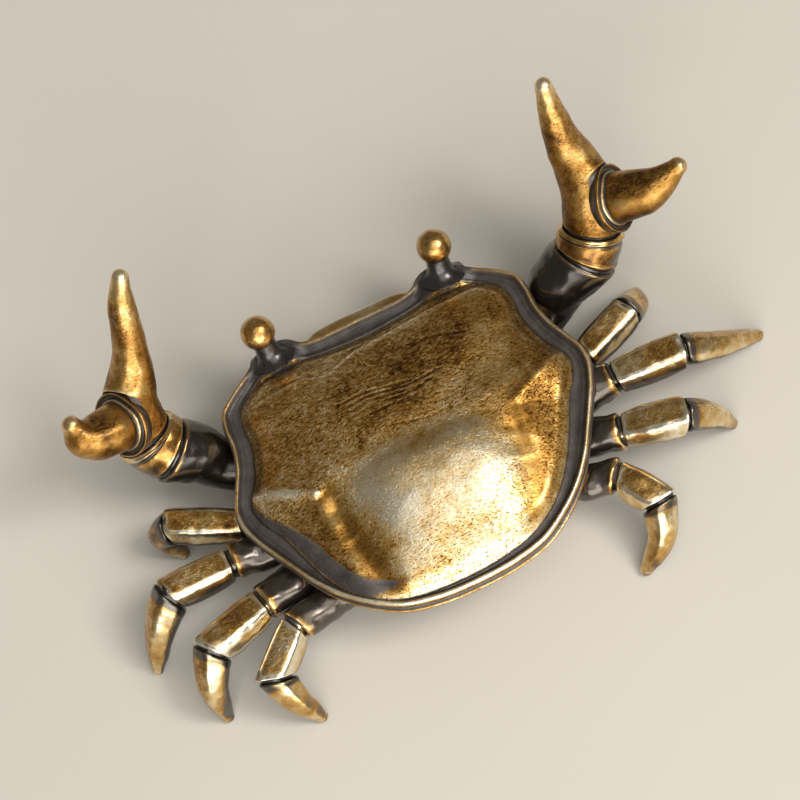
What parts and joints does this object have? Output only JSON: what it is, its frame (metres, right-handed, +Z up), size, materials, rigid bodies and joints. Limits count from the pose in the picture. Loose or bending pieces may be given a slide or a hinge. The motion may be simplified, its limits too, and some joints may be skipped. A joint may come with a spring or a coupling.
{
  "type": "crab figurine",
  "caption": "Small antique brass crab ornament with domed shell, stalked eyes and both claws raised.",
  "frame": {"origin": "on the ground under the middle of the whole figurine", "axes": "+X across the crab to its right, +Y forward towards the claws, +Z up"},
  "size_m": [0.064, 0.04, 0.0226],
  "materials": {
    "shell_brass": "antique, brushed, worn bright on the high spots",
    "limb_brass": "antique, worn bright on edges and flats",
    "eye_brass": "antique, polished tops",
    "dark_brass": "dark patina, semi-gloss"
  },
  "bodies": {
    "root": {"abdomen_flap": "dark_brass", "carapace": "shell_brass", "left_arm": "dark_brass", "left_eye": "eye_brass", "left_leg_1_root": "dark_brass", "left_leg_1_shank": "limb_brass", "left_leg_1_toe": "limb_brass", "left_leg_2_root": "dark_brass", "left_leg_2_shank": "limb_brass", "left_leg_2_toe": "limb_brass", "left_leg_3_root": "dark_brass", "left_leg_3_shank": "limb_brass", "left_leg_3_toe": "limb_brass", "left_leg_4_root": "dark_brass", "left_leg_4_shank": "limb_brass", "left_leg_4_toe": "limb_brass", "left_palm": "limb_brass", "left_thumb": "limb_brass", "left_wrist": "limb_brass", "right_arm": "dark_brass", "right_eye": "eye_brass", "right_leg_1_root": "dark_brass", "right_leg_1_shank": "limb_brass", "right_leg_1_toe": "limb_brass", "right_leg_2_root": "dark_brass", "right_leg_2_shank": "limb_brass", "right_leg_2_toe": "limb_brass", "right_leg_3_root": "dark_brass", "right_leg_3_shank": "limb_brass", "right_leg_3_toe": "limb_brass", "right_leg_4_root": "dark_brass", "right_leg_4_shank": "limb_brass", "right_leg_4_toe": "limb_brass", "right_palm": "limb_brass", "right_thumb": "limb_brass", "right_wrist": "limb_brass", "underbody": "dark_brass"}
  },
  "joints": []
}
